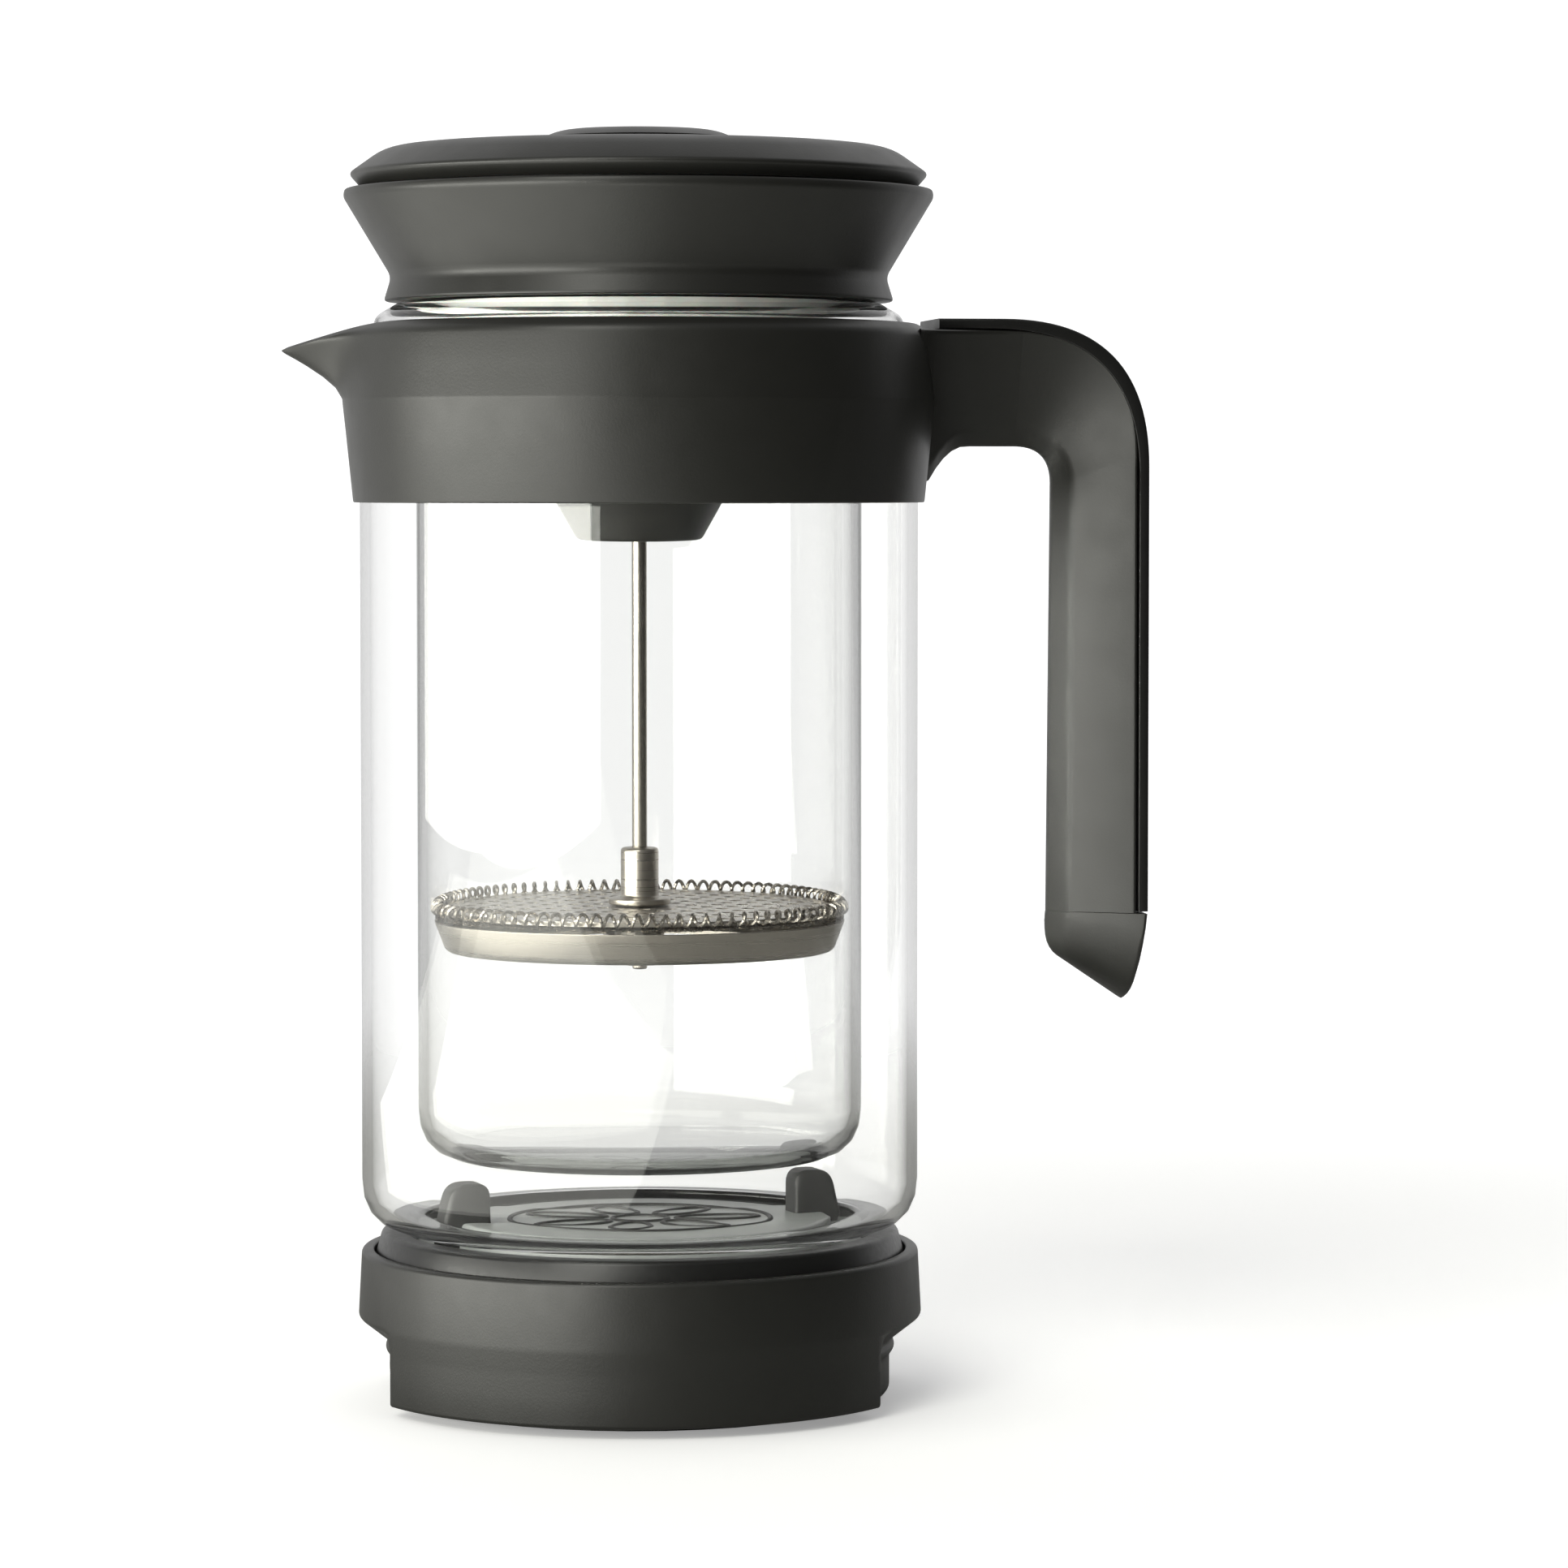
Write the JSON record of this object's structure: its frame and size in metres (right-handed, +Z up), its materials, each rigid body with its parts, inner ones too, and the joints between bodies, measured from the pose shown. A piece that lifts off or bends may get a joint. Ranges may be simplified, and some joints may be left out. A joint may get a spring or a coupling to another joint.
{
  "type": "french press",
  "caption": "Double-wall french press in a base cup, with a spouted collar and handle, and a dripper funnel stacked under its lid; the plunger rod and filter run inside.",
  "frame": {"origin": "centre of the foot pad's underside, on the pot's axis, where the press stands on the table", "axes": "+Z up along the pot's axis, +X towards the handle, -X towards the spout, +Y to the back when the handle is on the right"},
  "size_m": [0.1733, 0.1184, 0.254],
  "materials": {
    "body_plastic": "satin, fine grain",
    "spine_plastic": "soft touch, dark",
    "tab_plastic": "satin",
    "deck_plastic": "fine satin grey",
    "rubber": "matte",
    "silicone": "translucent white",
    "glass": "clear, polished",
    "steel": "bright stainless",
    "brass": "turned"
  },
  "bodies": {
    "base": {"foot_pad": "rubber", "base_cup": "body_plastic", "cradle_ring": "rubber", "deck_disc": "deck_plastic", "latch_tab_right": "tab_plastic", "latch_tab_left": "tab_plastic"},
    "carafe": {"outer_jacket": "glass", "inner_beaker": "glass", "neck_seal": "silicone", "collar_and_handle": "body_plastic", "handle_spine": "spine_plastic", "collar_gasket": "silicone"},
    "funnel": {"dripper_funnel": "body_plastic", "funnel_gasket": "silicone", "rod_guide": "tab_plastic"},
    "lid": {"lid_cap": "body_plastic", "lid_seal": "silicone", "rod_bush": "tab_plastic"},
    "plunger": {"knob": "body_plastic", "knob_insert": "brass", "rod": "steel", "hub_ferrule": "steel", "perforated_plate": "steel", "spring_coil": "steel", "mesh_screen": "steel", "hub_spacer": "steel", "cross_plate": "steel", "hub_nut": "steel"}
  },
  "joints": [
    {"name": "carafe_lift", "type": "slide", "parent": "base", "child": "carafe", "axis": [0, 0, 1], "range_m": [0, 0.03]},
    {"name": "funnel_lift", "type": "slide", "parent": "carafe", "child": "funnel", "axis": [0, 0, 1], "range_m": [0, 0.145]},
    {"name": "lid_lift", "type": "slide", "parent": "funnel", "child": "lid", "axis": [0, 0, 1], "range_m": [0, 0.012]},
    {"name": "plunger_slide", "type": "slide", "parent": "lid", "child": "plunger", "axis": [0, 0, 1], "range_m": [0, 0.045]}
  ]
}
